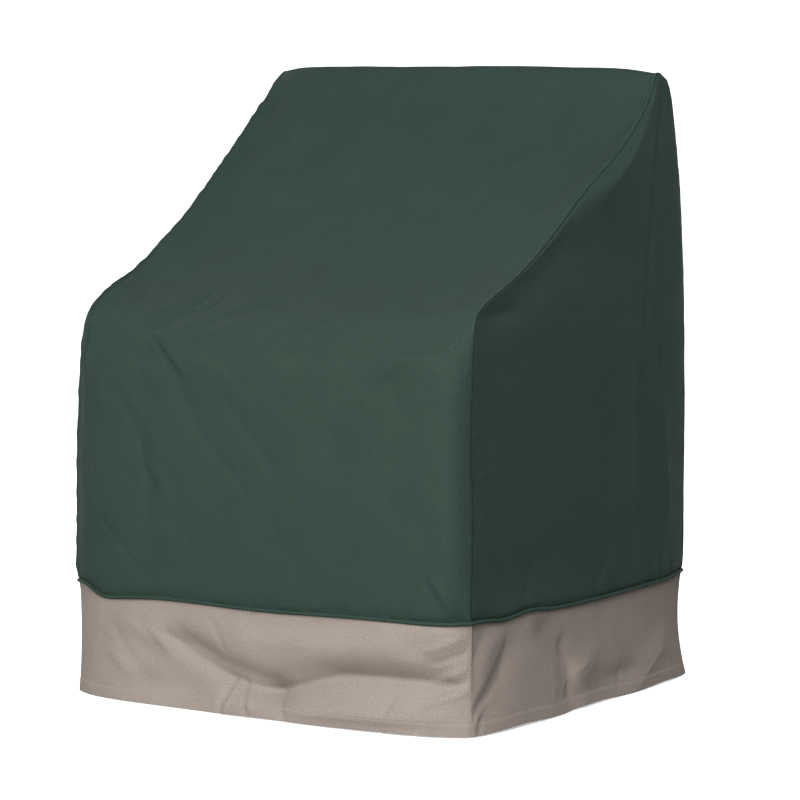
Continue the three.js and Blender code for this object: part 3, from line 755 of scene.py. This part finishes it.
# Makes a cloth's mesh from an even grid, each of whose corners is taken to its place
def makeCloth(name, points, cloth, materials, thick):
    rows, columns = points.shape[:2]
    shape = bmesh.new()
    shape.loops.layers.uv.new("cloth")
    bmesh.ops.create_grid(shape, x_segments=columns - 1, y_segments=rows - 1, size=0.5)
    mesh = bpy.data.meshes.new(name)
    shape.to_mesh(mesh)
    shape.free()
    flat = np.empty(len(mesh.vertices) * 3)
    mesh.vertices.foreach_get("co", flat)
    flat = flat.reshape(-1, 3) + 0.5
    column = np.rint(flat[:, 0] * (columns - 1)).astype(int)
    row = np.rint(flat[:, 1] * (rows - 1)).astype(int)
    mesh.vertices.foreach_set("co", (points[row, column] * mm).ravel())
    corner = np.empty(len(mesh.loops), int)
    mesh.loops.foreach_get("vertex_index", corner)
    mesh.uv_layers["cloth"].data.foreach_set("uv", (cloth[row, column][corner] * mm).ravel())
    shape = bmesh.new()
    shape.from_mesh(mesh)
    bmesh.ops.remove_doubles(shape, verts=shape.verts, dist=mergeWithin * mm)
    for face in shape.faces:
        face.smooth = True
    shape.to_mesh(mesh)
    shape.free()
    for material in materials:
        mesh.materials.append(material)
    piece = bpy.data.objects.new(name, mesh)
    bpy.context.collection.objects.link(piece)
    if thick:
        wall = piece.modifiers.new("cloth thickness", "SOLIDIFY")
        wall.thickness = thick * mm
        wall.offset = -1
        wall.use_even_offset = True
        wall.material_offset = len(materials) - 1
    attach(piece, "root")
    return piece


# Woven polyester: a plain weave of matt yarn. The real one has 2 threads a millimetre, which no pixel would
# show, so its pitch is drawn coarser. The dye lies a little unevenly. The yarn's hollows are painted darker
# than its crowns as painted shade, and the crowns a little lighter as a painted highlight
greenCloth = {"deep": "#26352F", "bright": "#2E3F37", "hollow": 0.92, "rough": 0.78}
taupeCloth = {"deep": "#7F756E", "bright": "#8F857D", "hollow": 0.93, "rough": 0.8}

# The weave's pitch and the bumps' heights in millimetres. mottles, grains and crinkles are counted in a metre
weave = {
    "pitch": 2.4, "high": 0.3, "strength": 0.2, "crown": 1.03,
    "mottles": 14, "smoother": 0.07, "rougher": 0.09,
    "grains": 420, "grainFrom": 0.3, "grainTo": 0.7, "grainDark": 0.84, "grainBright": 1.14,
    "crinkles": 110, "crinkleHigh": 0.7, "crinkleStrength": 0.35, "shine": 0.07,
}
turnsPerScale = 20 / (2 * math.pi)  # how many bands a wave texture of scale 1 has in a metre


def wovenPolyester(name, look):
    material, tree = newMaterial(name)
    place = addNode(tree, "UVMap", {"uv_map": "cloth"}).outputs["UV"]
    threads = 1 / (weave["pitch"] * mm)
    bands = {"Vector": place, "Scale": threads / turnsPerScale}
    warp = addNode(tree, "TexWave", {"bands_direction": "X"}, bands).outputs["Fac"]
    weft = addNode(tree, "TexWave", {"bands_direction": "Y"}, bands).outputs["Fac"]
    over = addNode(tree, "TexChecker", None, {"Vector": place, "Scale": threads}).outputs["Fac"]
    yarn = addNode(tree, "Mix", {"data_type": "FLOAT"}, {0: over, 2: warp, 3: weft}).outputs[0]
    mottle = addNode(tree, "TexNoise", None, {
        "Vector": place, "Scale": weave["mottles"], "Detail": 5, "Roughness": 0.6}).outputs["Fac"]
    grain = addNode(tree, "TexNoise", None, {
        "Vector": place, "Scale": weave["grains"], "Detail": 2}).outputs["Fac"]
    crinkle = addNode(tree, "TexNoise", None, {
        "Vector": place, "Scale": weave["crinkles"], "Detail": 3}).outputs["Fac"]

    dye = addNode(tree, "MixRGB", None, {
        "Fac": mottle, "Color1": toLinear(look["deep"]), "Color2": toLinear(look["bright"])}).outputs["Color"]
    speck = addNode(tree, "MapRange", None, {
        "Value": grain, "From Min": weave["grainFrom"], "From Max": weave["grainTo"],
        "To Min": weave["grainDark"], "To Max": weave["grainBright"]}).outputs["Result"]
    # Painted shade and highlight: the colour is darkened in the weave's hollows and lightened a little on its
    # crowns
    crown = addNode(tree, "MapRange", None, {
        "Value": yarn, "To Min": look["hollow"], "To Max": weave["crown"]}).outputs["Result"]
    # The grain's random tone, times the weave's painted shade and highlight
    grainAndShade = addNode(tree, "Math", {"operation": "MULTIPLY"}, {0: speck, 1: crown}).outputs["Value"]
    colour = addNode(tree, "VectorMath", {"operation": "SCALE"}, {0: dye, "Scale": grainAndShade}).outputs["Vector"]
    matt = addNode(tree, "MapRange", None, {
        "Value": mottle, "To Min": look["rough"] - weave["smoother"],
        "To Max": look["rough"] + weave["rougher"]}).outputs["Result"]

    soft = addNode(tree, "Bump", None, {
        "Height": crinkle, "Strength": weave["crinkleStrength"],
        "Distance": weave["crinkleHigh"] * mm}).outputs["Normal"]
    woven = addNode(tree, "Bump", None, {
        "Height": yarn, "Strength": weave["strength"], "Distance": weave["high"] * mm,
        "Normal": soft}).outputs["Normal"]
    shader = addNode(tree, "BsdfPrincipled", None, {
        "Base Color": colour, "Roughness": matt, "Normal": woven, "Specular IOR Level": weave["shine"]})
    addNode(tree, "OutputMaterial", None, {"Surface": shader.outputs["BSDF"]})
    return material


# Polyurethane coating on the cloth's inner side: a smooth film in the colour of its cloth, a little glossy
# and uneven
coating = {"mottles": 30, "high": 0.5, "strength": 0.3, "smoothest": 0.34, "roughest": 0.5, "shine": 0.5}


def polyurethaneCoating(name, look):
    material, tree = newMaterial(name)
    place = addNode(tree, "UVMap", {"uv_map": "cloth"}).outputs["UV"]
    mottle = addNode(tree, "TexNoise", None, {
        "Vector": place, "Scale": coating["mottles"], "Detail": 4}).outputs["Fac"]
    film = addNode(tree, "MixRGB", None, {
        "Fac": mottle, "Color1": toLinear(look["deep"]), "Color2": toLinear(look["bright"])}).outputs["Color"]
    gloss = addNode(tree, "MapRange", None, {
        "Value": mottle, "To Min": coating["smoothest"], "To Max": coating["roughest"]}).outputs["Result"]
    bumps = addNode(tree, "Bump", None, {
        "Height": mottle, "Strength": coating["strength"],
        "Distance": coating["high"] * mm}).outputs["Normal"]
    shader = addNode(tree, "BsdfPrincipled", None, {
        "Base Color": film, "Roughness": gloss, "Normal": bumps, "Specular IOR Level": coating["shine"]})
    addNode(tree, "OutputMaterial", None, {"Surface": shader.outputs["BSDF"]})
    return material


greenOuter = wovenPolyester("woven polyester, dyed green", greenCloth)
greenInner = polyurethaneCoating("polyurethane coating, green side", greenCloth)
taupeOuter = wovenPolyester("woven polyester, dyed taupe", taupeCloth)
taupeInner = polyurethaneCoating("polyurethane coating, taupe side", taupeCloth)
print("materials made")

# The panels' rows: close together beside the skirt, and each back one level with a front one, so that the
# side panels' rows run level between the two. The centre panel has fewer of them behind, where it is plain
closeRows = centrePanel["closeRows"]
evenRows = np.linspace(closeRows[-1], clothUpTo(ridgeRow), centrePanel["frontRows"] + 1 - len(closeRows))
frontPlaces = np.interp(np.concatenate([closeRows[:-1], evenRows]), clothLengths, clothSteps)
frontPlaces[-1] = ridgeRow
backPlaces = levelBehind(frontPlaces)
backPlaces[0], backPlaces[-1] = lastRow, ridgeRow
sparse = range(len(closeRows) - 1, len(frontPlaces) - 1, centrePanel["backEvery"])
behind = sorted({*range(len(closeRows) - 1), *sparse}, reverse=True)
centrePlaces = np.concatenate([frontPlaces, backPlaces[behind]])
centreStops = crowdedStops(centrePanel["wide"], centrePanel["step"], sideSeam["edge"])
sideStops = crowdedStops(sidePanel["deep"], sidePanel["step"], sideSeam["edge"])
deepShares = sideStops / sideStops[-1]

centreGrid, centreCloth = centrePoints(centrePlaces, 2 * centreStops / centrePanel["wide"] - 1)
rightGrid, rightCloth = sidePoints(1, frontPlaces, backPlaces, deepShares, rightCreases)
leftGrid, leftCloth = sidePoints(-1, frontPlaces, backPlaces, deepShares, leftCreases)
leftGrid, leftCloth = leftGrid[:, ::-1], leftCloth[:, ::-1] * np.array([-1, 1])

makeCloth("centre_panel_cloth", centreGrid, centreCloth, [greenOuter, greenInner], centrePanel["thick"])
makeCloth("side_panel_right_cloth", rightGrid, rightCloth, [greenOuter, greenInner], sidePanel["thick"])
makeCloth("side_panel_left_cloth", leftGrid, leftCloth, [greenOuter, greenInner], sidePanel["thick"])
print("panels made")

# The skirt's four strips, each from one corner to the next. seed is where its waves start in the noise
strips = {
    "front": {"top": centreGrid[0], "stops": centreStops, "out": (0, -1, 0),
              "from": "frontLeft", "to": "frontRight",
              "folds": frontSkirtFolds, "creases": frontSkirtCreases, "seed": 11.3},
    "right": {"top": rightGrid[0], "stops": sideStops, "out": (1, 0, 0),
              "from": "frontRight", "to": "backRight",
              "folds": sideSkirtFolds, "creases": sideSkirtCreases, "seed": 23.1},
    "back": {"top": centreGrid[-1][::-1], "stops": centreStops, "out": (0, 1, 0),
             "from": "backRight", "to": "backLeft",
             "folds": backSkirtFolds, "creases": backSkirtCreases, "seed": 37.9},
    "left": {"top": leftGrid[0], "stops": sideStops, "out": (-1, 0, 0),
             "from": "backLeft", "to": "frontLeft",
             "folds": sideSkirtFolds, "creases": backSkirtCreases, "seed": 41.7},
}
skirtGrids = {}
for name, strip in strips.items():
    skirtGrids[name], skirtCloth = skirtPoints(
        strip["top"], strip["stops"], np.array(strip["out"], float), hems[name], hemCorners[strip["from"]],
        hemCorners[strip["to"]], strip["folds"], strip["creases"], strip["seed"])
    makeCloth(f"band_{name}_cloth", skirtGrids[name], skirtCloth, [taupeOuter, taupeInner], skirt["thick"])
print("skirt made")

# The piping: a cord wrapped in the same green cloth, lying in the groove of the seam
piping = {"radius": 3, "gap": 0.5, "sides": 14, "uneven": 0.12, "long": 9, "step": 1.2}


def pipingPoints():
    ring = np.concatenate([skirtGrids[name][-1][:-1] for name in strips])
    ring = ring[np.concatenate([np.linalg.norm(np.diff(ring, axis=0), axis=1) > piping["step"], [True]])]
    before, after = np.roll(ring, 1, 0), np.roll(ring, -1, 0)
    ahead = (after - before) / np.linalg.norm(after - before, axis=1)[:, None]
    up = np.array([0, 0, 1.0])
    out = np.cross(ahead, up)
    out /= np.linalg.norm(out, axis=1)[:, None]
    along = np.concatenate([[0], np.cumsum(np.linalg.norm(np.diff(ring, axis=0), axis=1))])
    start = noiseStarts["cord"]
    uneven = np.array([noise.noise((place / piping["long"], start, start)) for place in along])
    thick = piping["radius"] + piping["uneven"] * uneven
    centre = ring + out * (piping["radius"] + piping["gap"])
    angle = np.linspace(0, 2 * math.pi, piping["sides"] + 1)[:, None]
    outward = out[None] * np.cos(angle)[..., None] + up * np.sin(angle)[..., None]
    points = centre[None] + thick[None, :, None] * outward
    points = np.concatenate([points, points[:, :1]], 1)
    around = np.broadcast_to(angle * piping["radius"], points.shape[:2])
    along = np.append(along, along[-1] + np.linalg.norm(ring[0] - ring[-1]))
    return points, np.stack([np.broadcast_to(along, around.shape), around], -1)


pipingGrid, pipingCloth = pipingPoints()
makeCloth("piping_cord", pipingGrid, pipingCloth, [greenOuter], 0)
print("piping made")

# Lockstitching: a stitch every few millimetres, half sunk in the cloth
seamStitches = {"pitch": 3.6, "long": 2.7, "wide": 0.75, "high": 0.6, "proud": 0.08}

# Darker and larger stitches on the front: two short rows, and three single tacks above them
frontStitches = {"pitch": 5, "long": 2.8, "wide": 1.3, "high": 0.7, "proud": 0.1}
frontMarks = [
    {"from": (-44, 253), "to": (-30, 178)},
    {"from": (36, 262), "to": (50, 183)},
    {"from": (-227, 355), "to": (-226, 345)},
    {"from": (-95, 350), "to": (-94, 340)},
    {"from": (-12, 358), "to": (-11, 348)},
]
markSteps = 30
markBeside = 2  # how far beside a mark its neighbouring line lies


# Spun polyester thread: its twisted plies look a little lighter and darker by turns. twists are counted in
# a metre
greenThread = {"deep": "#2B3B35", "bright": "#4A6056"}
taupeThread = {"deep": "#857B71", "bright": "#B3A99E"}
frontThread = {"deep": "#121B17", "bright": "#202D27"}
spun = {"twists": 900, "high": 0.2, "strength": 0.4, "smoothest": 0.6, "roughest": 0.8, "shine": 0.2}


def spunThread(name, look):
    material, tree = newMaterial(name)
    place = addNode(tree, "TexCoord").outputs["Object"]
    twist = addNode(tree, "TexNoise", None, {
        "Vector": place, "Scale": spun["twists"], "Detail": 1}).outputs["Fac"]
    colour = addNode(tree, "MixRGB", None, {
        "Fac": twist, "Color1": toLinear(look["deep"]), "Color2": toLinear(look["bright"])}).outputs["Color"]
    gloss = addNode(tree, "MapRange", None, {
        "Value": twist, "To Min": spun["smoothest"], "To Max": spun["roughest"]}).outputs["Result"]
    ply = addNode(tree, "Bump", None, {
        "Height": twist, "Strength": spun["strength"], "Distance": spun["high"] * mm}).outputs["Normal"]
    shader = addNode(tree, "BsdfPrincipled", None, {
        "Base Color": colour, "Roughness": gloss, "Normal": ply, "Specular IOR Level": spun["shine"]})
    addNode(tree, "OutputMaterial", None, {"Surface": shader.outputs["BSDF"]})
    return material


# The point at a length along a line, whose points lie at the lengths in reach
def pointAlong(line, reach, length):
    return np.array([np.interp(length, reach, line[:, axis]) for axis in range(3)])


# One row of stitches along a line, whose neighbour lies to the left of it as seen from outside
def sewAlong(shape, line, beside, stitches):
    reach = np.concatenate([[0], np.cumsum(np.linalg.norm(np.diff(line, axis=0), axis=1))])
    for middle in np.arange(stitches["pitch"], reach[-1] - stitches["pitch"], stitches["pitch"]):
        here, ahead = pointAlong(line, reach, middle - 0.5), pointAlong(line, reach, middle + 0.5)
        across = pointAlong(beside - line, reach, middle)
        along = Vector(ahead - here).normalized()
        outward = along.cross(Vector(across)).normalized()
        turned = Matrix((along, outward.cross(along), outward)).transposed().to_4x4()
        sized = Matrix.Diagonal((stitches["long"] * mm, stitches["wide"] * mm, stitches["high"] * mm, 1))
        place = Matrix.Translation(Vector((here + ahead) / 2) * mm + outward * stitches["proud"] * mm)
        bmesh.ops.create_icosphere(shape, subdivisions=1, radius=0.5, matrix=place @ turned @ sized)


def makeStitching(name, rows, stitches, material):
    shape = bmesh.new()
    for line, beside in rows:
        sewAlong(shape, line, beside, stitches)
    bmesh.ops.recalc_face_normals(shape, faces=shape.faces)
    for face in shape.faces:
        face.smooth = True
    mesh = bpy.data.meshes.new(name)
    shape.to_mesh(mesh)
    shape.free()
    mesh.materials.append(material)
    piece = bpy.data.objects.new(name, mesh)
    bpy.context.collection.objects.link(piece)
    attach(piece, "root")
    return piece


# The place on the centre panel's outer side that is so far across and up
def onCentre(across, up):
    row = np.interp(up, centreCloth[:, 0, 1], np.arange(len(centreCloth)))
    below = int(row)
    low = pointAlong(centreGrid[below], centreCloth[below, :, 0], across)
    high = pointAlong(centreGrid[below + 1], centreCloth[below + 1, :, 0], across)
    return mix(low, high, row - below)


def markRow(mark):
    line = np.linspace(mark["from"], mark["to"], markSteps)
    return tuple(np.array([onCentre(across + shift, up) for across, up in line]) for shift in (0, markBeside))


# The columns and rows of points that the stitches follow, by their places
seamStitch = sideSeam["edge"].index(2.2)
hemStitch = skirt["rows"].index(18.4)
greenSpun = spunThread("spun polyester thread, green", greenThread)
taupeSpun = spunThread("spun polyester thread, taupe", taupeThread)
darkSpun = spunThread("spun polyester thread, dark green", frontThread)
makeStitching("stitching_side_seams", [
    (centreGrid[:, seamStitch], centreGrid[:, seamStitch - 1]),
    (centreGrid[:, -1 - seamStitch], centreGrid[:, -2 - seamStitch]),
], seamStitches, greenSpun)
makeStitching("stitching_hem", [
    (grid[hemStitch], grid[hemStitch + 1]) for grid in skirtGrids.values()
], seamStitches, taupeSpun)
makeStitching("stitching_front_marks", [markRow(mark) for mark in frontMarks], frontStitches, darkSpun)
print("stitching made")

# What each cloth is cut to in metres, how it hangs, from which cloth, and which pieces go with it
cuts = {
    "centre_panel": {"flat": centrePanel["flat"], "held": "draped", "rests": [],
                     "with": ["stitching_side_seams", "stitching_front_marks"]},
    "side_panel_right": {"flat": sidePanel["flat"], "area": sidePanel["area"], "held": "hung",
                         "rests": ["centre_panel_cloth"], "with": []},
    "side_panel_left": {"flat": sidePanel["flat"], "area": sidePanel["area"], "held": "hung",
                        "rests": ["centre_panel_cloth"], "with": []},
    "band_front": {"flat": skirt["flatFront"], "held": "hung", "rests": ["centre_panel_cloth"],
                   "with": ["stitching_hem"]},
    "band_right": {"flat": skirt["flatSide"], "held": "hung", "rests": ["side_panel_right_cloth"],
                   "with": []},
    "band_back": {"flat": skirt["flatFront"], "held": "hung", "rests": ["centre_panel_cloth"], "with": []},
    "band_left": {"flat": skirt["flatSide"], "held": "hung", "rests": ["side_panel_left_cloth"], "with": []},
}
for node, cut in cuts.items():
    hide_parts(node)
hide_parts("piping")
